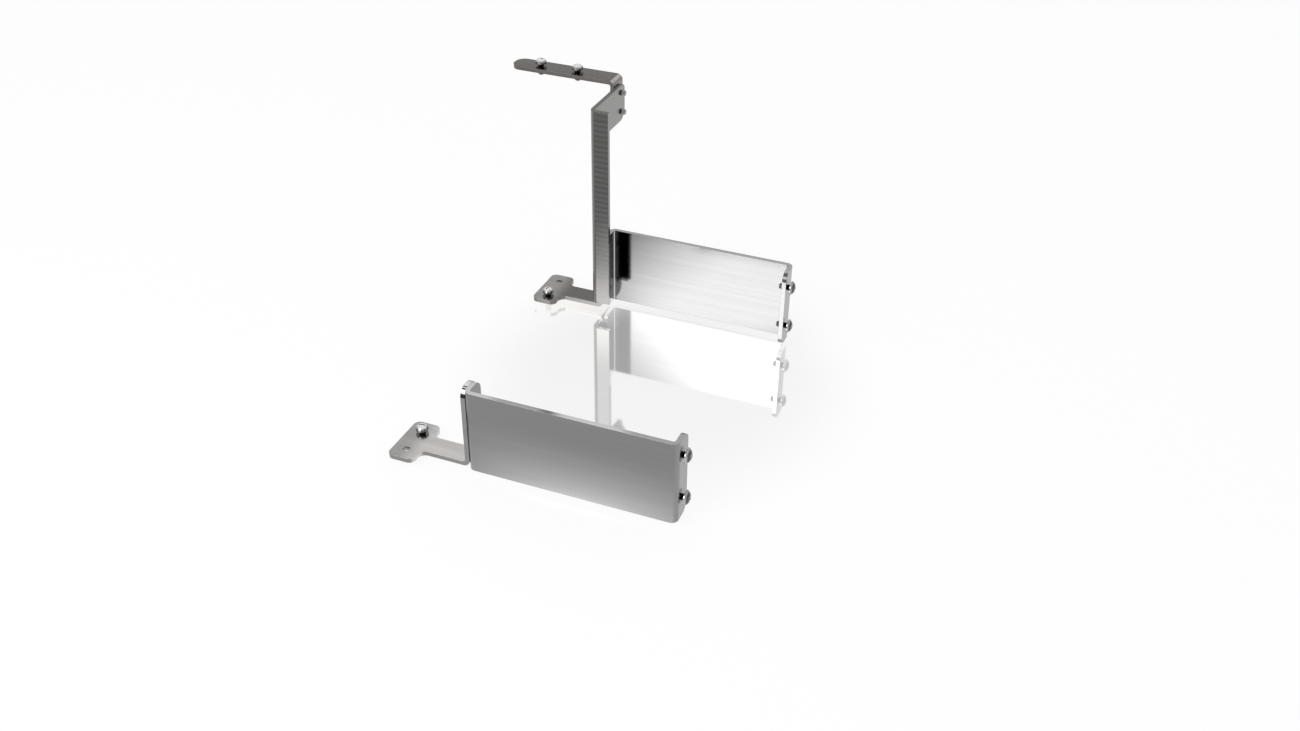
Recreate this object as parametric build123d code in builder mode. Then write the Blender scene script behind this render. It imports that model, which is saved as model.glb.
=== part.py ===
"""Vertical graphics card mount: two folded channel plates on foot brackets, and a post with a slot arm.

The origin is the centre of the front foot's open hole, on the underside of the feet.
+X runs along the plates to the right, +Y from the front plate to the rear one, and +Z is up.
"""

import os

from build123d import *

os.makedirs("parts", exist_ok=True)

# Sheet metal, millimetres
sheet = 2.2
arm_sheet = 2.0
bend_inner_r = 1.0

# Channel plates, which stand on their long bottom edge
plate_width = 97.7
plate_height = 41.0
flange_depth = 12.2
flange_corner_r = 4.5
unit_span = 161.4

# Foot brackets: a leg on the left flange, an arm out to the left and a cross plate at its end
leg_width = 11.0
leg_inset = 1.7
leg_corner_r = 4.8
foot_reach = 30.8
foot_width = 13.0
foot_length = 27.0
foot_corner_r = 3.0
foot_neck_r = 3.5
foot_hole_pitch = 14.0

# Post: a folded corner that stands outside the rear foot bracket's leg
post_bottom = 5.5
post_top = 111.4
post_face_width = 10.0
post_face_gap = 2.4
ear_reach = 24.0
ear_height = 18.5
ear_top_r = 3.0
ear_bottom_r = 5.5
ear_root_r = 3.0

# Slot arm: a strip bent at the top of the ear, with the two slot screws
arm_rise = 3.2
arm_width = 11.3
arm_overhang = 2.6
arm_reach = 57.1
arm_corner_r = 5.0
tab_corner_r = 3.0
slot_pitch = 20.32
slot_inner_reach = 22.2

# Screws
thread_d = 3.0
thread_clearance = 0.1
screw_length = 6.0
head_d = 5.8
head_h = 2.5
head_rim_h = 0.8
wide_head_d = 7.0
wide_head_h = 2.2
wide_head_rim_h = 0.4
crown_share = 0.5
head_standoff = 1.3
flat_head_d = 5.5
flat_head_clearance = 0.1
flat_tip_out = 0.4
side_screw_z = 9.5
side_screw_pitch = 22.0
ear_screw_pitch = 10.0
ear_screw_drop = 4.4

# Places worked out from the sizes above
half_sheet = sheet / 2
bend_mid_r = bend_inner_r + half_sheet
hole_r = thread_d / 2 + thread_clearance
left_x = foot_reach
leg_height = plate_height
right_x = left_x + plate_width
foot_y = foot_hole_pitch / 2
front_y = foot_y - leg_width / 2 - leg_inset
rear_y = front_y + unit_span
rear_foot_y = front_y + rear_y - foot_y
mid_plane = Plane.XZ.offset(-(front_y + rear_y) / 2)
side_screw_heights = (side_screw_z, side_screw_z + side_screw_pitch)
leg_outer_x = left_x - sheet
post_outer_x = leg_outer_x - sheet
post_face_y = rear_foot_y - leg_width / 2 - post_face_gap - sheet
post_side_near_y = post_face_y + sheet + bend_inner_r
post_side_far_y = rear_foot_y + leg_width / 2
ear_far_y = post_side_far_y + ear_reach
ear_bottom = post_top - ear_height
arm_y = ear_far_y + arm_overhang - arm_width / 2
arm_top = post_top + arm_rise
tab_outer_x = post_outer_x - arm_sheet
ear_screw_heights = (post_top - ear_screw_drop - ear_screw_pitch, post_top - ear_screw_drop)
slot_screw_places = (post_outer_x - slot_inner_reach, post_outer_x - slot_inner_reach - slot_pitch)


def save(piece, name):
    """Label a finished piece and write it under its name."""
    piece.label = name
    export_step(piece, f"parts/{name}.step")


def side_planes(x, y, heights):
    """Planes on a face that looks to -X, one at each screw height."""
    return [Plane(origin=(x, y, z), x_dir=(0, 1, 0), z_dir=(-1, 0, 0)) for z in heights]


# Channel plates
with BuildPart() as front_plate:
    with BuildSketch():
        with BuildLine():
            FilletPolyline(
                (left_x + half_sheet, front_y + flange_depth),
                (left_x + half_sheet, front_y + half_sheet),
                (right_x - half_sheet, front_y + half_sheet),
                (right_x - half_sheet, front_y + flange_depth),
                radius=bend_mid_r,
            )
        trace(line_width=sheet)
    extrude(amount=plate_height)
    free_corners = front_plate.edges().filter_by(Axis.X).group_by(Axis.Y)[-1]
    fillet(free_corners, radius=flange_corner_r)
    with Locations(*side_planes(left_x, foot_y, side_screw_heights)):
        Hole(radius=hole_r)
save(front_plate.part, "front_plate")

with BuildPart() as rear_plate:
    mirror(front_plate.part, about=mid_plane)
save(rear_plate.part, "rear_plate")


def foot_bracket(screws_sit_in_leg):
    """The front foot bracket, with its leg countersunk where the screw heads sit in the leg itself."""
    with BuildPart() as bracket:
        with BuildSketch(Plane.XZ.offset(-foot_y)):
            with BuildLine():
                FilletPolyline(
                    (0, half_sheet),
                    (left_x - half_sheet, half_sheet),
                    (left_x - half_sheet, leg_height),
                    radius=bend_mid_r,
                )
            trace(line_width=sheet)
        extrude(amount=leg_width / 2, both=True)
        leg_corners = bracket.edges().filter_by(Axis.X).group_by(Axis.Z)[-1]
        fillet(leg_corners, radius=leg_corner_r)
        with BuildSketch() as foot_outline:
            with Locations((0, foot_y)):
                Rectangle(foot_width, foot_length)
                Rectangle(
                    foot_width / 2 + 2 * foot_neck_r,
                    leg_width,
                    align=(Align.MIN, Align.CENTER),
                )
            rows = foot_outline.vertices().group_by(Axis.X)
            inner_row = rows[1].sort_by(Axis.Y)
            fillet(rows[0] + [inner_row[0], inner_row[-1]], radius=foot_corner_r)
            neck_row = foot_outline.vertices().filter_by_position(
                Axis.Y, foot_y - leg_width / 2, foot_y + leg_width / 2
            )
            fillet(neck_row.group_by(Axis.X)[0], radius=foot_neck_r)
        extrude(amount=sheet)
        with Locations(Plane.XY.offset(sheet)):
            with Locations((0, foot_y)):
                with GridLocations(foot_width, foot_hole_pitch, 1, 2):
                    Hole(radius=hole_r)
        with Locations(*side_planes(leg_outer_x, foot_y, side_screw_heights)):
            if screws_sit_in_leg:
                CounterSinkHole(
                    radius=hole_r,
                    counter_sink_radius=flat_head_d / 2 + flat_head_clearance,
                    depth=sheet,
                    counter_sink_angle=90,
                )
            else:
                Hole(radius=hole_r, depth=sheet)
    return bracket.part


# Foot brackets
with BuildPart() as front_foot_bracket:
    add(foot_bracket(screws_sit_in_leg=True))
save(front_foot_bracket.part, "front_foot_bracket")

with BuildPart() as rear_foot_bracket:
    mirror(foot_bracket(screws_sit_in_leg=False), about=mid_plane)
save(rear_foot_bracket.part, "rear_foot_bracket")

# Post with its ear
with BuildPart() as post:
    with BuildSketch(Plane.XY.offset(post_bottom)):
        with BuildLine():
            FilletPolyline(
                (post_outer_x + post_face_width, post_face_y + half_sheet),
                (post_outer_x + half_sheet, post_face_y + half_sheet),
                (post_outer_x + half_sheet, post_side_far_y),
                radius=bend_mid_r,
            )
        trace(line_width=sheet)
    extrude(amount=post_top - post_bottom)
    with BuildSketch(Plane.YZ.offset(post_outer_x)) as side_outline:
        with Locations((post_side_near_y, post_top)):
            Rectangle(
                post_side_far_y - post_side_near_y,
                post_top - post_bottom,
                align=(Align.MIN, Align.MAX),
            )
        with Locations((post_side_far_y, post_top)):
            Rectangle(ear_reach, ear_height, align=(Align.MIN, Align.MAX))
        for corner, radius in (
            ((post_side_far_y, ear_bottom), ear_root_r),
            ((ear_far_y, ear_bottom), ear_bottom_r),
            ((ear_far_y, post_top), ear_top_r),
        ):
            fillet(side_outline.vertices().sort_by_distance(corner)[0], radius=radius)
    extrude(amount=sheet)
    with Locations(*side_planes(post_outer_x, arm_y, ear_screw_heights)):
        Hole(radius=hole_r, depth=sheet)
    with Locations(*side_planes(post_outer_x, rear_foot_y, side_screw_heights)):
        CounterSinkHole(
            radius=hole_r,
            counter_sink_radius=flat_head_d / 2 + flat_head_clearance,
            depth=sheet,
            counter_sink_angle=90,
        )
save(post.part, "post")

# Slot arm
with BuildPart() as top_arm:
    with BuildSketch(Plane.XZ.offset(-arm_y)):
        with BuildLine():
            FilletPolyline(
                (tab_outer_x + arm_sheet / 2, ear_bottom),
                (tab_outer_x + arm_sheet / 2, arm_top - arm_sheet / 2),
                (post_outer_x - arm_reach, arm_top - arm_sheet / 2),
                radius=bend_inner_r + arm_sheet / 2,
            )
        trace(line_width=arm_sheet)
    extrude(amount=arm_width / 2, both=True)
    arm_end = top_arm.edges().filter_by(Axis.Z).group_by(Axis.X)[0]
    fillet(arm_end, radius=arm_corner_r)
    tab_end = top_arm.edges().filter_by(Axis.X).group_by(Axis.Z)[0]
    fillet(tab_end, radius=tab_corner_r)
    with Locations(*side_planes(tab_outer_x, arm_y, ear_screw_heights)):
        Hole(radius=hole_r, depth=arm_sheet)
    with Locations(*[Plane(origin=(x, arm_y, arm_top)) for x in slot_screw_places]):
        Hole(radius=hole_r, depth=arm_sheet)
save(top_arm.part, "top_arm")


def pan_screw(name, seat, width=head_d, height=head_h, rim_h=head_rim_h):
    """A pan head screw on its seat plane, whose normal points out through the head."""
    profile_plane = Plane(origin=seat.origin, x_dir=seat.x_dir, z_dir=-seat.y_dir)
    with BuildPart() as screw:
        with BuildSketch(profile_plane):
            with BuildLine():
                Polyline(
                    (0, height),
                    (crown_share * width / 2, height),
                    (width / 2, rim_h),
                    (width / 2, 0),
                    (thread_d / 2, 0),
                    (thread_d / 2, -screw_length),
                    (0, -screw_length),
                    close=True,
                )
            make_face()
        revolve(axis=Axis(seat.origin, seat.z_dir))
    save(screw.part, name)


def flat_screw(name, seat, length):
    """A countersunk screw, flush with its seat plane."""
    profile_plane = Plane(origin=seat.origin, x_dir=seat.x_dir, z_dir=-seat.y_dir)
    with BuildPart() as screw:
        with BuildSketch(profile_plane):
            with BuildLine():
                Polyline(
                    (0, 0),
                    (flat_head_d / 2, 0),
                    (thread_d / 2, (thread_d - flat_head_d) / 2),
                    (thread_d / 2, -length),
                    (0, -length),
                    close=True,
                )
            make_face()
        revolve(axis=Axis(seat.origin, seat.z_dir))
    save(screw.part, name)


# Screws in the channel plates, a lower and an upper one in each flange
for end, y, left_stack in (("front", foot_y, 2), ("rear", rear_foot_y, 3)):
    head_x = left_x + sheet - left_stack * sheet
    left_seats = side_planes(head_x, y, side_screw_heights)
    for level, z, left_seat in zip(("lower", "upper"), side_screw_heights, left_seats):
        right_seat = Plane(origin=(right_x + head_standoff, y, z), z_dir=(1, 0, 0))
        pan_screw(
            f"{end}_right_screw_{level}", right_seat, wide_head_d, wide_head_h, wide_head_rim_h
        )
        flat_screw(f"{end}_left_screw_{level}", left_seat, left_stack * sheet + flat_tip_out)

# Screws in the feet
for end, y in (("front", foot_y + foot_hole_pitch / 2), ("rear", rear_foot_y - foot_hole_pitch / 2)):
    pan_screw(f"{end}_foot_screw", Plane(origin=(0, y, sheet + head_standoff)))

# Screws that hold the slot arm to the ear
for level, seat in zip(("lower", "upper"), side_planes(tab_outer_x, arm_y, ear_screw_heights)):
    pan_screw(f"ear_screw_{level}", seat)

# Slot screws, which clamp the card's bracket
for place, x in zip(("inner", "outer"), slot_screw_places):
    pan_screw(f"slot_screw_{place}", Plane(origin=(x, arm_y, arm_top + head_standoff)))
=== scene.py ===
# %% [markdown]
# # Vertical graphics card mount
#
# This scene dresses a set of folded steel parts: two channel plates on foot brackets, a tall post with an
# ear, a slot arm and fourteen small screws. The shapes of the sheets are already right in the packed
# model. What is left for Blender is what a camera sees up close: softened cut edges, brushed grain,
# polished screws with a cross recess and a thread, and the light of a small studio.
#
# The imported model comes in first. It is fixed, so every piece that is added goes where the model says.

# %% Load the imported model
import math

import bpy
from mathutils import Matrix, Vector


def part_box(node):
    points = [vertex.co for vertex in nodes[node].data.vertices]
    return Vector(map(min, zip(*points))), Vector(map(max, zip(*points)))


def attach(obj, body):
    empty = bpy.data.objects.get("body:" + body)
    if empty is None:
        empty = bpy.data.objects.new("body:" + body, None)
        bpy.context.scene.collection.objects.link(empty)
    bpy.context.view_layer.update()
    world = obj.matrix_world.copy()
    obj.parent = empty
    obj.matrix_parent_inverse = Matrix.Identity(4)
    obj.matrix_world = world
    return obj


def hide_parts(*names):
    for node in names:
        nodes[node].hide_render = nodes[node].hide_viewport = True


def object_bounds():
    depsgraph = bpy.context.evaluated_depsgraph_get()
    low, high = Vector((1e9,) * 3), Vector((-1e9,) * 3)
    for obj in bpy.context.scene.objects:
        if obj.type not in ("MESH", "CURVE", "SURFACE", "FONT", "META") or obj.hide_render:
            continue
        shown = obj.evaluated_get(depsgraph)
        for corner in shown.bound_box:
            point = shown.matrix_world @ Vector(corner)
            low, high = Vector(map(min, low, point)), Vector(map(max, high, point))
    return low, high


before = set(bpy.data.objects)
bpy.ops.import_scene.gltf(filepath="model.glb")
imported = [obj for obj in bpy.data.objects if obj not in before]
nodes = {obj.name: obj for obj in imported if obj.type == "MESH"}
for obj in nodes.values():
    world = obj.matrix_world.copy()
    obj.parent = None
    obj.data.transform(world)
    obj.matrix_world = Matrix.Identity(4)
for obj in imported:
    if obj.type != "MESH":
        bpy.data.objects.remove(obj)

cad_box = [list(corner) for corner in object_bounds()]
print("nodes:", len(nodes))
print("packed box, m:", cad_box)

# %% [markdown]
# ## The camera
#
# The camera stands to the right of the mount, in front of it and above it, and looks down by a little more
# than 33 degrees. It could be placed by eye, but its place and turn were fitted to the straight edges in
# the photo, so that the outline falls where the photo has it. A camera in Blender looks along its own -Z,
# so its axes are worked out from where it looks: forward, right and up, and a slight roll about the line
# of sight.

# %% Camera
camera_place = Vector((0.274388, -0.407151, 0.366900))
camera_yaw = -0.3714723
camera_pitch = -0.5866902
camera_roll = 0.0142553
focal_px = 1348.51
image_width_px = 1300
sensor_mm = 36.0

forward = Vector((
    math.sin(camera_yaw) * math.cos(camera_pitch),
    math.cos(camera_yaw) * math.cos(camera_pitch),
    math.sin(camera_pitch),
))
level_right = Vector((math.cos(camera_yaw), -math.sin(camera_yaw), 0))
level_up = level_right.cross(forward)
right = math.cos(camera_roll) * level_right + math.sin(camera_roll) * level_up
up = math.cos(camera_roll) * level_up - math.sin(camera_roll) * level_right

camera_data = bpy.data.cameras.new("camera")
camera_data.sensor_fit = "HORIZONTAL"
camera_data.sensor_width = sensor_mm
camera_data.lens = focal_px / image_width_px * sensor_mm
camera = bpy.data.objects.new("camera", camera_data)
bpy.context.scene.collection.objects.link(camera)
turn = Matrix((right, up, -forward)).transposed().to_4x4()
camera.matrix_world = Matrix.Translation(camera_place) @ turn
bpy.context.scene.camera = camera
bpy.context.scene.view_settings.view_transform = "Standard"
print("lens, mm:", round(camera_data.lens, 2))

# %% [markdown]
# ## Shader maths
#
# Materials are node trees, and a tree made of plain sums is hard to read when every sum is a
# node of its own. `Value` wraps a socket, so that `1 - mask` in Python adds the Math node that does it.
# `Tree` has one method that adds any other node, and a few that add nodes which are needed often.
# `Finish` is the tree of one material.

# %% Sockets that can be added and multiplied
class Value:
    """A socket that carries a number, ready for sums in Python."""

    def __init__(self, tree, socket):
        self.tree = tree
        self.socket = socket

    def maths(self, operation, first, second=0.0):
        """The Math node for one sum."""
        return self.tree.node("ShaderNodeMath", {"operation": operation}, {0: first, 1: second})

    def __add__(self, other):
        return self.maths("ADD", self, other)

    def __radd__(self, other):
        return self.maths("ADD", other, self)

    def __neg__(self):
        return self.maths("MULTIPLY", self, -1)

    def __sub__(self, other):
        return self.maths("SUBTRACT", self, other)

    def __rsub__(self, other):
        return self.maths("SUBTRACT", other, self)

    def __mul__(self, other):
        return self.maths("MULTIPLY", self, other)

    def __rmul__(self, other):
        return self.maths("MULTIPLY", other, self)

    def __truediv__(self, other):
        return self.maths("DIVIDE", self, other)

    def __pow__(self, other):
        return self.maths("POWER", self, other)

    def __gt__(self, other):
        return self.maths("GREATER_THAN", self, other)

    def __lt__(self, other):
        return self.maths("LESS_THAN", self, other)

    def __abs__(self):
        return self.maths("ABSOLUTE", self, 0)


class Tree:
    """A node tree, with one method that adds any node."""

    def __init__(self, tree):
        self.tree = tree
        self.tree.nodes.clear()

    def node(self, kind, settings=None, sockets=None, output=0):
        """Add a node, set it up, fill its sockets and give back one of its outputs."""
        made = self.tree.nodes.new(kind)
        for name, setting in (settings or {}).items():
            setattr(made, name, setting)
        for name, value in (sockets or {}).items():
            if isinstance(value, Value):
                self.tree.links.new(value.socket, made.inputs[name])
            else:
                made.inputs[name].default_value = value
        return Value(self, made.outputs[output]) if made.outputs else None

    def along(self, vector, axis):
        """One coordinate of a vector."""
        return self.node("ShaderNodeSeparateXYZ", sockets={0: vector}, output=axis)

    def ramp(self, value, low, high):
        """0 where the value is at its low end, 1 at its high end, and smooth between."""
        settings = {"interpolation_type": "SMOOTHSTEP"}
        sockets = {"Value": value, "From Min": low, "From Max": high}
        return self.node("ShaderNodeMapRange", settings, sockets)

    def hump(self, value, start, full, fading, gone):
        """1 over a middle stretch of the value, from full to fading, and 0 outside start and gone."""
        return self.ramp(value, start, full) * (1 - self.ramp(value, fading, gone))

    def brighten(self, colour, amount):
        """A colour times a number."""
        settings = {"operation": "SCALE"}
        return self.node("ShaderNodeVectorMath", settings, {0: colour, "Scale": amount})


class Finish(Tree):
    """One material."""

    def __init__(self, name):
        self.material = bpy.data.materials.new(name)
        self.material.use_nodes = True
        super().__init__(self.material.node_tree)

    def place(self):
        """The point on the piece, in metres."""
        return self.node("ShaderNodeTexCoord", output="Object")

    def noise(self, vector, scale, detail=3.0, roughness=0.6):
        """Soft noise from 0 to 1, with a mean near a half, finer along each axis by its own scale."""
        scaled = self.node("ShaderNodeVectorMath", {"operation": "MULTIPLY"}, {0: vector, 1: scale})
        sockets = {"Vector": scaled, "Scale": 1.0, "Detail": detail, "Roughness": roughness}
        return self.node("ShaderNodeTexNoise", {}, sockets, "Fac")

    def metal(self, colour, roughness, normal=None):
        """A metal surface, sent to the material's output."""
        sockets = {"Base Color": colour, "Metallic": 1.0, "Roughness": roughness}
        if normal:
            sockets["Normal"] = normal
        return self.surface(self.node("ShaderNodeBsdfPrincipled", {}, sockets))

    def surface(self, shader):
        """Send a shader to the material's output."""
        self.node("ShaderNodeOutputMaterial", {}, {"Surface": shader})
        return self.material


def between(share, first, second):
    """A number that goes from the first to the second as the share goes from 0 to 1."""
    return first + share * (second - first)


def band(value, low, high):
    """1 where a value lies between two limits, and 0 elsewhere."""
    return (value > low) * (value < high)


print("shader helpers are ready")

# %% [markdown]
# ## The studio
#
# The mount stands on a white glossy floor that runs on far beyond the picture, in soft light from all
# sides. A plain glossy plane would mirror the grey of the studio too, and wouldn't be white. So this floor
# shows white to the camera and to every reflection, and only near the mount does it also mirror what
# stands on it. That gloss fades out with distance. The mount's lowest points are the tips of the two foot
# screws, so the feet hover a little over the floor.

# %% Floor
floor_z = cad_box[0][2]
floor_size = 40.0
gloss_centre = (0.080, 0.100, floor_z)
gloss_inner = 0.050
gloss_outer = 0.112
gloss_share = 0.62
gloss_roughness = 0.05
matte_share = 0.12

bpy.ops.object.select_all(action="DESELECT")
bpy.ops.mesh.primitive_plane_add(size=floor_size, location=(0, 0, floor_z))
floor = bpy.context.active_object
floor.name = "floor"
bpy.ops.object.transform_apply(location=True, rotation=False, scale=False)

paint = Finish("floor_white")
from_centre = paint.node(
    "ShaderNodeVectorMath", {"operation": "DISTANCE"}, {0: paint.place(), 1: gloss_centre}, "Value"
)
gloss = gloss_share * (1 - paint.ramp(from_centre, gloss_inner, gloss_outer))
matte = paint.node("ShaderNodeBsdfDiffuse", {}, {"Color": (0.9, 0.9, 0.9, 1)})
white = paint.node("ShaderNodeEmission", {}, {"Color": (1, 1, 1, 1), "Strength": 1.0})
mirror = paint.node("ShaderNodeBsdfGlossy", {}, {"Color": (1, 1, 1, 1), "Roughness": gloss_roughness})
base = paint.node("ShaderNodeMixShader", {}, {0: matte_share, 1: white, 2: matte})
shown = paint.node("ShaderNodeMixShader", {}, {0: gloss, 1: base, 2: mirror})
rays = [
    paint.node("ShaderNodeLightPath", output=name)
    for name in ("Is Camera Ray", "Is Glossy Ray", "Is Transmission Ray")
]
seen = (rays[0] + rays[1] + rays[2]) > 0.5
floor.data.materials.append(
    paint.surface(paint.node("ShaderNodeMixShader", {}, {0: seen, 1: matte, 2: shown}))
)
print("floor at z, m:", round(floor_z, 4))

# %% [markdown]
# The world gives most of the light. It is an even white that falls off towards the horizon, which gives
# the round screw heads something to mirror. From low down it shows past the far end of the floor, as a
# light grey band. One large soft lamp in front, at the height from which the glossy floor throws it back,
# brightens what stands near the floor and makes the mirror images of the steel shine. A ring of lamps could
# do that too, but each would put a glint of its own on every screw. World and lamp together light a
# surface at about the level at which its colour shows as it is written.

# %% Light
horizon_level = 0.62
zenith_level = 0.95
zenith_start = 0.9
softbox_place = (-0.25, -0.63, 0.58)
softbox_size = 0.5
softbox_radiance = 3.84

world = bpy.data.worlds.new("studio")
bpy.context.scene.world = world
world.use_nodes = True
sky = Tree(world.node_tree)
direction = sky.node("ShaderNodeTexCoord", output="Generated")
height = sky.ramp(sky.along(direction, "Z"), 0.0, zenith_start)
level = between(height, horizon_level, zenith_level)
shine = sky.node("ShaderNodeBackground", {}, {"Color": sky.brighten((1, 1, 1), level), "Strength": 1.0})
sky.node("ShaderNodeOutputWorld", {}, {"Surface": shine})


def softbox(name, place, aim, size, radiance):
    """A square area lamp that points at a spot, as bright as a surface of that radiance."""
    data = bpy.data.lights.new(name, "AREA")
    data.shape = "SQUARE"
    data.size = size
    data.energy = radiance * math.pi * size ** 2
    lamp = bpy.data.objects.new(name, data)
    bpy.context.scene.collection.objects.link(lamp)
    lamp.location = place
    lamp.rotation_mode = "QUATERNION"
    lamp.rotation_quaternion = (Vector(aim) - Vector(place)).to_track_quat("-Z", "Y")


middle = (Vector(cad_box[0]) + Vector(cad_box[1])) / 2
softbox("front_softbox", softbox_place, middle, softbox_size, softbox_radiance)
print("middle of the mount, m:", [round(v, 3) for v in middle])

# %% [markdown]
# ## Brushed steel
#
# The sheets are stainless steel, brushed in one direction. Brushing leaves thousands of fine
# parallel scratches. They could be a picture wrapped round each sheet, but that has seams at the bends, so
# the grain is noise that is stretched a long way along the brushing and hardly at all across it. It changes
# the tone, the roughness and the bump together. The class below works out what every sheet's finish starts
# from: the place, the way that the surface faces, and the grain. An underside near the floor is painted
# nearly white, as a painted reflection of the white floor, which is all that it sees.
#
# In the finishes that follow, a name with two numbers says where a tone starts to change and where the
# change is complete. One with four says that too, and then where the tone starts to fade and where it ends.

# %% Steel finish
underside_top = 0.01
floor_reflection_tone = 0.88
scratch_depth = 0.00001


class Steel(Finish):
    """Brushed steel, whose tone can follow the place and the way that the surface faces."""

    def __init__(self, name, grain, bands):
        super().__init__(name)
        point = self.place()
        normal = self.node("ShaderNodeNewGeometry", output="Normal")
        self.x, self.y, self.z = (self.along(point, axis) for axis in "XYZ")
        self.to_x, self.to_y, self.to_z = (self.along(normal, axis) for axis in "XYZ")
        self.fine = self.noise(point, grain, 3.0, 0.65)
        self.broad = self.noise(point, bands, 2.0, 0.5)

    def facing(self, side):
        """1 on the faces that look to a side, and 0 on those that don't."""
        return self.ramp(side, 0.3, 0.9)

    def edge(self, side):
        """1 on the cut edges that look to a side or straight away from it, and 0 elsewhere."""
        return self.ramp(abs(side), 0.5, 0.9)

    def brushed(self, tone, streak, roughness, warmth=0.0):
        """The finished steel: the tone with its streaks, the grain's roughness and its bump."""
        # painted reflection: undersides near the floor are painted nearly white for the white floor they
        # mirror
        floor_reflection = self.ramp(-self.to_z, 0.5, 0.9) * (self.z < underside_top)
        tone = between(floor_reflection, tone, floor_reflection_tone)
        lit = tone * (1 + streak * (self.fine - 0.5) + streak * (self.broad - 0.5))
        colour = self.brighten((1 + warmth, 1, 1 - warmth), lit)
        sockets = {"Strength": 0.1, "Distance": scratch_depth, "Height": self.fine}
        bump = self.node("ShaderNodeBump", {}, sockets, "Normal")
        return self.metal(colour, roughness + 0.06 * (self.fine - 0.5), bump)


finishes = {}
print("a steel tone runs from 0, black, to 1, white")

# %% [markdown]
# The channel plates are brushed along their length, from side to side. Such steel shows the white boards
# and lamps of the studio. Those could be built and left to mirror in it, but here the tone itself follows
# the place on the sheet, which gives each face its own light with nothing else in the scene.
#
# The outside of the front plate is satin, with a painted glow of light that rises from the floor to the
# right of its middle.
# Its top edge is painted with darker stretches and one darker spot, as painted reflections.
#
# The inside of the rear plate is nearly polished. Its tone is painted darker towards the corner by the post,
# as a painted reflection of the post's shadowed back, and most of all in the strip where that painted mirror
# image stands.

# %% Channel plate finishes
lengthways = (40, 1500, 2600)
lengthways_bands = (6, 200, 420)
sheet = 0.0022
plate_low, plate_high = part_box("rear_plate")
plate_top = plate_high.z
plate_middle = (plate_low.x + plate_high.x) / 2
inner_corner = plate_low.x + sheet
glow_middle = 0.088
glow_half = 0.064
glow_height = 0.030
# where the front plate's top edge gets painted reflections: darker stretches and one darker spot
reflected_dark_stretch = (0.040, 0.050, 0.070, 0.080)
reflected_dark_end = (0.100, 0.110)
reflected_spot_x = 0.070
reflected_spot_half = 0.006
side_tone = 0.27
back_tone = 0.40
shadow_reach = 0.075
mirrored_width = 0.0075
mirrored_bottom = 0.0124
cut_edge_depth = 0.0005
top_corner_turn = (0.2, 0.5, 0.85, 0.97)

steel = Steel("front_plate_steel", lengthways, lengthways_bands)
# painted light: a glow painted on the front plate's outside, rising from the floor right of its middle
off_middle = (steel.x - glow_middle) / glow_half
low = 1 - steel.node("ShaderNodeClamp", {}, {0: steel.z / glow_height})
painted_glow = (1 - off_middle * off_middle) * low ** 1.6
tone = between(steel.facing(steel.to_x), 0.23 + 0.31 * painted_glow, side_tone)
tone = between(steel.facing(steel.to_y), tone, back_tone)
# painted reflections: darker stretches and one darker spot on the front plate's top edge
reflected_dark = steel.hump(steel.x, *reflected_dark_stretch) + steel.ramp(steel.x, *reflected_dark_end)
reflected_spot = 1 - steel.ramp(abs(steel.x - reflected_spot_x), 0.0, reflected_spot_half)
edge_tone = between(reflected_dark, 0.64, 0.40) * (1 - 0.5 * reflected_spot)
edge = steel.edge(steel.to_z)
finishes["front_plate"] = steel.brushed(between(edge, tone, edge_tone), 0.10, between(edge, 0.22, 0.12))

steel = Steel("rear_plate_steel", lengthways, lengthways_bands)
# painted reflection of the post's shadowed back: darker towards the corner, most in the mirrored strip
from_corner = steel.x - inner_corner + plate_top - steel.z
mirrored = (steel.x < inner_corner + mirrored_width) * (steel.z > mirrored_bottom)
tone = between(steel.ramp(from_corner, 0.0, shadow_reach), 0.085, 0.275) * (1 - 0.6 * mirrored)
tone = between(steel.y < plate_low.y + cut_edge_depth, tone, 0.30)
# painted highlight: the inside of the rear plate's left flange is painted light (0.85)
flange_tone = between(steel.x > plate_middle, 0.85, side_tone)
tone = between(steel.facing(steel.to_x), tone, flange_tone)
tone = between(steel.facing(-steel.to_x), tone, side_tone)
tone = between(steel.facing(steel.to_y), tone, back_tone)
tone = between(steel.edge(steel.to_z), tone, 0.43)
# painted reflection: the rounded top corners of the right flange are painted dark
corner = steel.hump(steel.to_z, *top_corner_turn) * (steel.x > plate_middle)
finishes["rear_plate"] = steel.brushed(between(corner, tone, 0.12), 0.16, 0.12)
print("plates:", sorted(finishes))

# %% [markdown]
# The foot brackets are brushed along their arms. Their cut edges are smoother and a little darker than the
# faces, and the front foot's arm is brighter than its cross plate. The rear foot's arm is painted darker
# towards the plate, as painted shade. The rounded top of the front foot's leg turns through every height of
# the studio, so it is painted light with three dark bands across, as a painted reflection of the studio.

# %% Foot bracket finishes
arm_grain = (60, 1800, 1800)
arm_bands = (9, 260, 260)
leg_crown = 0.030
front_arm_start = (-0.002, 0.007)
front_edge_start = (0.0, 0.03)
rear_arm_start = (-0.001, 0.010)
crown_start = (0.05, 0.10)
crown_light = 0.80
crown_reflection_bands = ((0.06, 0.42), (crown_light, 0.87), (0.92, 0.96))

steel = Steel("front_foot_steel", arm_grain, arm_bands)
edge = steel.edge(steel.to_y)
tone = between(steel.ramp(steel.x, *front_arm_start), 0.37, 0.57)
edge_tone = between(steel.ramp(steel.x, *front_edge_start), 0.255, 0.27)
tone = between(edge, tone, edge_tone)
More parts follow.
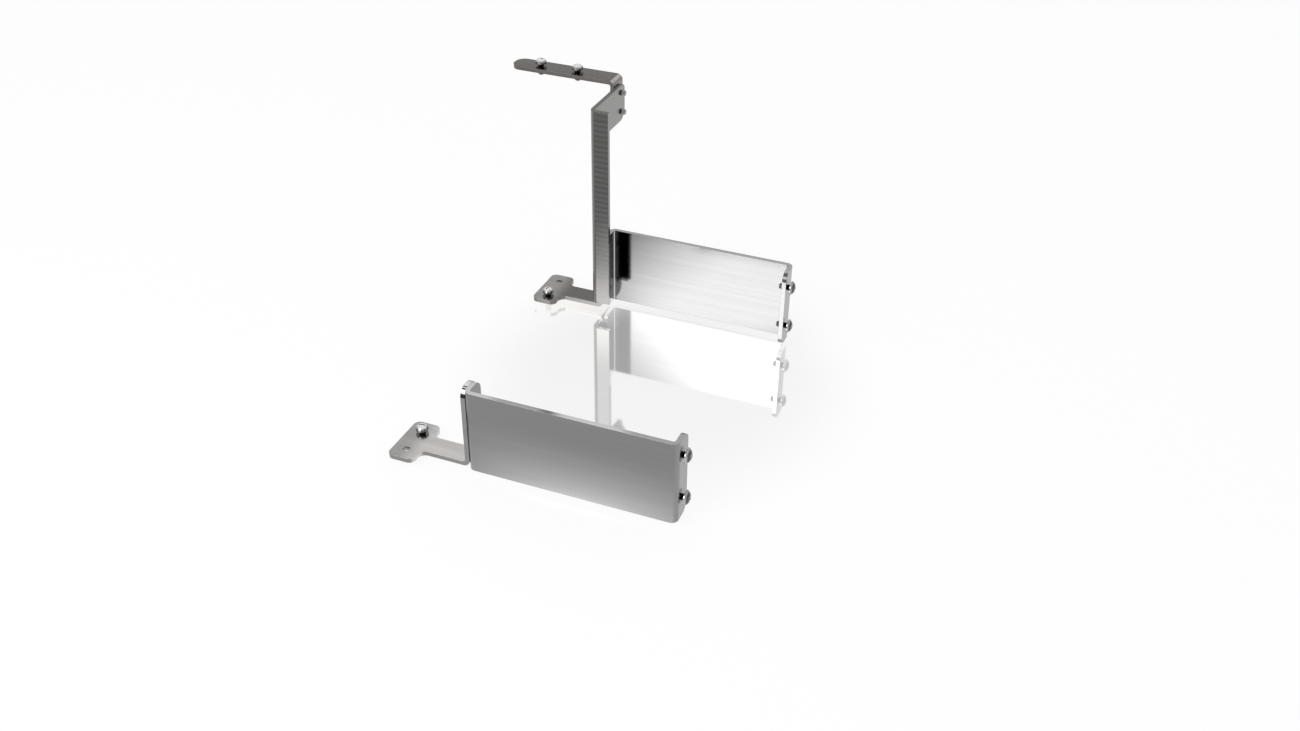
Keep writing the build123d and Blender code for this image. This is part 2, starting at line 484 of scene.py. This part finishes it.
# painted reflection: the rounded top of the front foot's leg is painted light with three dark bands
reflected_bands = sum(band(steel.to_z, start, end) for start, end in crown_reflection_bands)
crown_tone = between(reflected_bands, between(steel.to_z > crown_light, 0.35, 0.80), 0.03)
crown = steel.ramp(steel.to_z, *crown_start) * (steel.z > leg_crown)
tone = between(crown, tone, crown_tone)
finishes["front_foot_bracket"] = steel.brushed(tone, 0.36, between(edge, 0.14, 0.20), 0.015)

steel = Steel("rear_foot_steel", arm_grain, arm_bands)
edge = steel.edge(steel.to_y)
# painted shade: the rear foot's arm is painted darker towards the plate
tone = between(steel.ramp(steel.x, *rear_arm_start), 0.33, 0.145)
tone = between(edge, tone, 0.20)
finishes["rear_foot_bracket"] = steel.brushed(tone, 0.36, between(edge, 0.14, 0.20), 0.025)
print("with the feet:", sorted(finishes))

# %% [markdown]
# The post is brushed across its width, which shows as fine level stripes that fade towards its foot. It is
# painted lighter towards its foot, as painted light from the floor, and its side and bend towards -X and its
# cut edge beside the rear plate are painted lighter, as painted highlights. Its back, which faces the rear
# plate, is painted nearly black, as painted shade in the dark between the two. The slot arm is brushed along
# its length, and its bend is painted the lightest part of it, as a painted highlight.

# %% Post and slot arm finishes
stripe_pitch = 0.0027
stripe_waver = 2.0
stripes_rise = (0.020, 0.065)
post_foot = 0.034
bend_reach = 0.0014
face_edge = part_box("post")[1].x - bend_reach
arm_bend_turn = (0.15, 0.45, 0.7, 0.95)

steel = Steel("post_steel", (60, 60, 2600), (8, 8, 420))
# painted light: the post is painted lighter towards its foot, for light from the floor
low = 1 - steel.ramp(steel.z, 0.0, post_foot)
wave = steel.z * (2 * math.pi / stripe_pitch) + stripe_waver * steel.broad
stripes = steel.node("ShaderNodeMath", {"operation": "SINE"}, {0: wave})
stripe_depth = between(steel.ramp(steel.z, *stripes_rise), 0.003, 0.0155)
beside_plate = plate_top > steel.z
tone = 0.108 + 0.10 * low + stripe_depth * stripes
# painted highlight: the side and bend towards -X are painted lighter
tone = between(steel.ramp(-steel.to_x, 0.1, 0.6), tone, 0.215)
# painted highlight: the cut edge beside the rear plate is painted light
right_tone = between((steel.x > face_edge) * beside_plate, 0.24, 0.60)
tone = between(steel.facing(steel.to_x), tone, right_tone)
# painted shade: the back that faces the rear plate is painted nearly black
tone = between((steel.to_y > 0.5) * beside_plate, tone, 0.015)
edge = steel.edge(steel.to_z)
finishes["post"] = steel.brushed(between(edge, tone, 0.15), 0.06, between(edge, 0.20, 0.15), 0.012)

steel = Steel("arm_steel", arm_grain, arm_bands)
# painted light: the arm's faces towards +X are painted a little lighter
tone = between(steel.ramp(steel.to_x, 0.6, 0.9), 0.128, 0.22)
# painted highlight: the bend is painted the lightest part of the arm
tone = between(steel.hump(steel.to_x, *arm_bend_turn), tone, 0.50)
tone = between(steel.edge(steel.to_y), tone, 0.145)
finishes["top_arm"] = steel.brushed(tone, 0.55, 0.20, 0.06)
print("all the sheets:", sorted(finishes))

# %% [markdown]
# ## The sheets
#
# A cut sheet never has a perfectly sharp edge: deburring leaves a small round that catches
# the light. Each sheet starts as a copy of its own node, because a node's mesh stays as it came. The
# copy's loose triangles are joined and its flat faces merged, so that only real edges are left, and a
# bevel of a fraction of a millimetre rounds those. Weighted normals keep the flat faces flat right up to
# that round, so that they mirror without a bend.

# %% Sheets with softened edges
edge_round = 0.0001
weld_distance = 2e-6
flat_angle = math.radians(0.5)
edge_angle = math.radians(40)
smooth_angle = math.radians(60)
sheet_slots = {
    "front_plate": "front_plate_steel",
    "rear_plate": "rear_plate_steel",
    "front_foot_bracket": "foot_steel",
    "rear_foot_bracket": "foot_steel",
    "post": "post_steel",
    "top_arm": "arm_steel",
}


def edit(piece):
    """Select one piece alone, with all of its mesh, and open it for editing."""
    if bpy.context.mode != "OBJECT":
        bpy.ops.object.mode_set(mode="OBJECT")
    bpy.ops.object.select_all(action="DESELECT")
    piece.select_set(True)
    bpy.context.view_layer.objects.active = piece
    bpy.ops.object.mode_set(mode="EDIT")
    bpy.ops.mesh.select_all(action="SELECT")


def soften(name):
    """A copy of a sheet with its corners joined and its sharp edges rounded."""
    mesh = nodes[name].data.copy()
    mesh.materials.clear()
    piece = bpy.data.objects.new(f"{name}_formed", mesh)
    bpy.context.scene.collection.objects.link(piece)
    edit(piece)
    bpy.ops.mesh.customdata_custom_splitnormals_clear()
    bpy.ops.mesh.remove_doubles(threshold=weld_distance)
    bpy.ops.mesh.dissolve_limited(angle_limit=flat_angle)
    bpy.ops.object.mode_set(mode="OBJECT")
    bevel = piece.modifiers.new("edge_round", "BEVEL")
    bevel.width = edge_round
    bevel.segments = 2
    bevel.limit_method = "ANGLE"
    bevel.angle_limit = edge_angle
    bevel.use_clamp_overlap = False
    bpy.ops.object.modifier_apply(modifier="edge_round")
    bpy.ops.object.shade_smooth_by_angle(angle=smooth_angle)
    weigh = piece.modifiers.new("flat_faces", "WEIGHTED_NORMAL")
    weigh.mode = "FACE_AREA"
    weigh.keep_sharp = True
    bpy.ops.object.modifier_apply(modifier="flat_faces")
    mesh.materials.append(finishes[name])
    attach(piece, "root")
    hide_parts(name)
    return piece


for name in sheet_slots:
    made = soften(name)
    print(made.name, "faces:", len(made.data.polygons))

# %% [markdown]
# ## Polished screws
#
# The screws are small machine screws with polished heads. A polished metal shows its surroundings
# like a mirror, so a head has very little roughness, and rings of lighter and darker steel are painted on it
# as painted reflections of the studio. The thread, which is rolled, is painted much darker under the head
# than at its tip, as painted shade. Each screw carries two numbers at each point for this: how far out it
# lies, as a share of the head's radius, and how far below the head.

# %% Screw finish
crown_ring = (0.25, 0.50)
rim_ring = (0.70, 0.95)


def polished(name, crown_tone, middle_tone, rim_tone):
    """Polished steel with painted reflections in rings of three tones, from the crown of a head out to its
    rim.
    """
    finish = Finish(name)
    smudge = finish.noise(finish.place(), (900, 900, 900))
    outward = finish.node("ShaderNodeAttribute", {"attribute_name": "outward"}, output="Fac")
    # painted reflections: rings of lighter and darker steel from the crown out to the rim
    tone = between(finish.ramp(outward, *crown_ring), crown_tone, middle_tone)
    tone = between(finish.ramp(outward, *rim_ring), tone, rim_tone) * (1 + 0.2 * (smudge - 0.5))
    return finish.metal(finish.brighten((1, 1, 1), tone), 0.06 + 0.05 * smudge)


small_head_finish = polished("screw_steel", 0.90, 0.75, 0.22)
wide_head_finish = polished("wide_screw_steel", 0.35, 0.10, 0.45)

seat_depth = 0.00002
dark_depth = 0.0014
light_depth = 0.0026
finish = Finish("thread_steel")
smudge = finish.noise(finish.place(), (1400, 1400, 1400))
below = finish.node("ShaderNodeAttribute", {"attribute_name": "below"}, output="Fac")
# painted shade: the thread is painted much darker just under the head than at its tip
tone = between(finish.ramp(below, dark_depth, light_depth), 0.02, 0.34) * (1 + 0.4 * (smudge - 0.5))
tone = between(below > seat_depth, 0.90, tone)
thread_finish = finish.metal(finish.brighten((1, 1, 1), tone), 0.14 + 0.12 * smudge)
print("screw finishes are ready")

# %% [markdown]
# ## The pan head screws
#
# A pan head screw is modelled standing on its seat with its axis upright. It could be spun from a profile,
# but a thread isn't the same all round and needs rings of points in any case. So it starts as the rim of
# the head, a short cylinder. Insets of its top face, each a little narrower and higher, raise the dome.
# An inset of its underside leaves the seat, and the face inside it is pulled down in many short steps, which
# give the rings. The thread itself is a wave that climbs one pitch in each turn. Last comes the cross
# recess, cut by two tapered wings.

# %% Screw sizes
small_head = {"radius": 0.0029, "height": 0.0025, "rim": 0.0008}
wide_head = {"radius": 0.0035, "height": 0.0022, "rim": 0.0004}
flat_head_r = 0.00275
shank_r = 0.0015
pitch = 0.0005
thread_depth = 0.00026
screw_length = 0.006
point_length = 0.0004
point_depth = 0.00035
recess_width = 0.0030
recess_wing = 0.0006
recess_depth = 0.0013
recess_above = 0.0003
recess_taper = 0.55
wing_taper = 0.8
recess_flare = 1.05
lip_share = 0.97
around = 48
rings_per_pitch = 6
dome_steps = 8
head_smooth_angle = math.radians(32)
print("turns of thread on a screw:", round(screw_length / pitch))


# %% Steps that every screw shares
def pick_face(piece, height, facing):
    """In edit mode, select only the faces at a height that look up (1) or down (-1)."""
    bpy.ops.mesh.select_all(action="DESELECT")
    bpy.ops.object.mode_set(mode="OBJECT")
    for face in piece.data.polygons:
        face.select = abs(face.center.z - height) < 1e-6 and face.normal.z * facing > 0.9
    bpy.ops.object.mode_set(mode="EDIT")


def pull_thread(piece, top, length):
    """Pull the selected underside down in short steps, and shape the rings into a thread."""
    steps = round(length / pitch * rings_per_pitch)
    step = length / steps
    for _ in range(steps):
        bpy.ops.mesh.extrude_region_move(TRANSFORM_OT_translate={"value": (0, 0, -step)})
    bpy.ops.object.mode_set(mode="OBJECT")
    tip = top - length
    for vertex in piece.data.vertices:
        below = top - vertex.co.z
        if below < step * 1.5:
            continue
        flat = math.hypot(vertex.co.x, vertex.co.y)
        if flat < 1e-6 or flat > shank_r * 1.01:
            continue
        turn = math.atan2(vertex.co.y, vertex.co.x) / (2 * math.pi)
        phase = (below / pitch + turn) % 1.0
        groove = thread_depth * (1 - abs(2 * phase - 1))
        point_in = max(0.0, 1 - (vertex.co.z - tip) / point_length) * point_depth
        radius = shank_r - groove * min(1.0, (below - step) / pitch) - point_in
        vertex.co.x *= radius / flat
        vertex.co.y *= radius / flat


def cross_cutter(top):
    """Two crossed wings that taper downwards, as the cutter for a cross recess."""
    wings = []
    for quarter in (0, 1):
        bpy.ops.mesh.primitive_cube_add(size=1, location=(0, 0, 0))
        wing = bpy.context.active_object
        for vertex in wing.data.vertices:
            low = vertex.co.z < 0
            reach = recess_width / 2 * (recess_taper if low else recess_flare)
            half = recess_wing / 2 * (wing_taper if low else recess_flare)
            x = math.copysign(reach, vertex.co.x)
            y = math.copysign(half, vertex.co.y)
            vertex.co = (y, x, 0) if quarter else (x, y, 0)
            vertex.co.z = top - recess_depth if low else top + recess_above
        wings.append(wing)
    return wings


def cut_recess(piece, top):
    """Cut the cross recess into a head."""
    for wing in cross_cutter(top):
        cut = piece.modifiers.new("recess", "BOOLEAN")
        cut.operation = "DIFFERENCE"
        cut.solver = "EXACT"
        cut.object = wing
        bpy.ops.object.select_all(action="DESELECT")
        piece.select_set(True)
        bpy.context.view_layer.objects.active = piece
        bpy.ops.object.modifier_apply(modifier="recess")
        bpy.data.objects.remove(wing)


def polish(piece, head_r, head_finish):
    """Give a screw its two finishes, smooth its curved faces and mark each point's place on it."""
    piece.data.materials.clear()
    piece.data.materials.append(head_finish)
    piece.data.materials.append(thread_finish)
    for face in piece.data.polygons:
        out = math.hypot(face.center.x, face.center.y)
        below = face.center.z < -1e-5 or face.normal.z < -0.9
        face.material_index = 1 if below and out < head_r * lip_share else 0
    outward = piece.data.attributes.new("outward", "FLOAT", "POINT")
    below = piece.data.attributes.new("below", "FLOAT", "POINT")
    for vertex, out, depth in zip(piece.data.vertices, outward.data, below.data):
        out.value = math.hypot(vertex.co.x, vertex.co.y) / head_r
        depth.value = -vertex.co.z
    bpy.ops.object.select_all(action="DESELECT")
    piece.select_set(True)
    bpy.context.view_layer.objects.active = piece
    bpy.ops.object.shade_smooth_by_angle(angle=head_smooth_angle)


print("the screw steps are ready")


# %% Pan head screw
def pan_screw(name, head, head_finish):
    """A pan head screw with its seat at height 0."""
    head_r, head_h, rim_h = head["radius"], head["height"], head["rim"]
    bpy.ops.object.select_all(action="DESELECT")
    bpy.ops.mesh.primitive_cylinder_add(
        vertices=around, radius=head_r, depth=rim_h, location=(0, 0, rim_h / 2), end_fill_type="NGON"
    )
    piece = bpy.context.active_object
    piece.name = name
    bpy.ops.object.transform_apply(location=True)
    edit(piece)
    pick_face(piece, rim_h, 1)
    rise = head_h - rim_h
    dome_r = (head_r ** 2 + rise ** 2) / (2 * rise)
    dome_angle = math.asin(head_r / dome_r)
    last_r, last_z = head_r, rim_h
    for step in range(1, dome_steps):
        angle = dome_angle * (1 - step / dome_steps)
        ring_r = dome_r * math.sin(angle)
        ring_z = head_h - dome_r * (1 - math.cos(angle))
        bpy.ops.mesh.inset(thickness=last_r - ring_r, depth=ring_z - last_z)
        last_r, last_z = ring_r, ring_z
    pick_face(piece, 0, -1)
    bpy.ops.mesh.inset(thickness=head_r - shank_r, depth=0)
    pull_thread(piece, 0, screw_length)
    cut_recess(piece, head_h)
    polish(piece, head_r, head_finish)
    return piece


small = pan_screw("small_screw", small_head, small_head_finish)
wide = pan_screw("wide_screw", wide_head, wide_head_finish)
for piece in (small, wide):
    size = [round(measure * 1000, 2) for measure in piece.dimensions]
    print(piece.name, "faces:", len(piece.data.polygons), "mm:", size)

# %% [markdown]
# ## The countersunk screw
#
# The four screws in the left flanges are flush with the steel. They start as a cone, as wide as the
# head at the top and as the shank at the bottom.

# %% Countersunk screw
flat_depth = flat_head_r - shank_r


def flush_screw(length):
    """A countersunk screw whose head's face is at height 0."""
    bpy.ops.object.select_all(action="DESELECT")
    bpy.ops.mesh.primitive_cone_add(
        vertices=around,
        radius1=shank_r,
        radius2=flat_head_r,
        depth=flat_depth,
        location=(0, 0, -flat_depth / 2),
        end_fill_type="NGON",
    )
    piece = bpy.context.active_object
    bpy.ops.object.transform_apply(location=True)
    edit(piece)
    pick_face(piece, -flat_depth, -1)
    pull_thread(piece, -flat_depth, length - flat_depth)
    cut_recess(piece, 0)
    polish(piece, flat_head_r, small_head_finish)
    return piece


print("countersunk head, mm deep:", round(flat_depth * 1000, 2))

# %% [markdown]
# ## Screws in place
#
# Each screw is a copy of a model, turned so that its axis lies along its node's and moved until its tip is
# at the node's. The countersunk ones differ in length, so each has a model of its own. The place goes into
# the mesh, so that the object itself stays at the origin. The cross recesses don't line up on a real
# part, so each copy is turned a bit further.

# %% Place the screws
def put_screw(model, name, outward, twist):
    """Copy a screw to its node, with its head towards outward."""
    low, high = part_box(name)
    centre = (low + high) / 2
    way = Vector(outward)
    along = [i for i in range(3) if abs(way[i]) > 0.5][0]
    tip = centre.copy()
    tip[along] = low[along] if way[along] > 0 else high[along]
    piece = bpy.data.objects.new(f"{name}_turned", model.data.copy())
    bpy.context.scene.collection.objects.link(piece)
    bottom = min(v.co.z for v in model.data.vertices)
    stand = Matrix.Translation((0, 0, -bottom))
    spin = Matrix.Rotation(twist, 4, "Z")
    aim = way.to_track_quat("Z", "Y").to_matrix().to_4x4()
    piece.data.transform(Matrix.Translation(tip) @ aim @ spin @ stand)
    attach(piece, "root")
    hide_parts(name)


twist = 0.3
twist_step = 0.9
small_places = {
    "front_foot_screw": (0, 0, 1),
    "rear_foot_screw": (0, 0, 1),
    "slot_screw_inner": (0, 0, 1),
    "slot_screw_outer": (0, 0, 1),
    "ear_screw_lower": (-1, 0, 0),
    "ear_screw_upper": (-1, 0, 0),
}
wide_places = {
    "front_right_screw_lower": (1, 0, 0),
    "front_right_screw_upper": (1, 0, 0),
    "rear_right_screw_lower": (1, 0, 0),
    "rear_right_screw_upper": (1, 0, 0),
}
for model, places in ((small, small_places), (wide, wide_places)):
    for name, outward in places.items():
        put_screw(model, name, outward, twist)
        twist += twist_step
    bpy.data.objects.remove(model)

flush_names = [f"{end}_left_screw_{level}" for end in ("front", "rear") for level in ("lower", "upper")]
for name in flush_names:
    low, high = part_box(name)
    model = flush_screw(high.x - low.x)
    put_screw(model, name, (-1, 0, 0), twist)
    bpy.data.objects.remove(model)
    twist += twist_step
print("screws placed:", len(small_places) + len(wide_places) + len(flush_names))
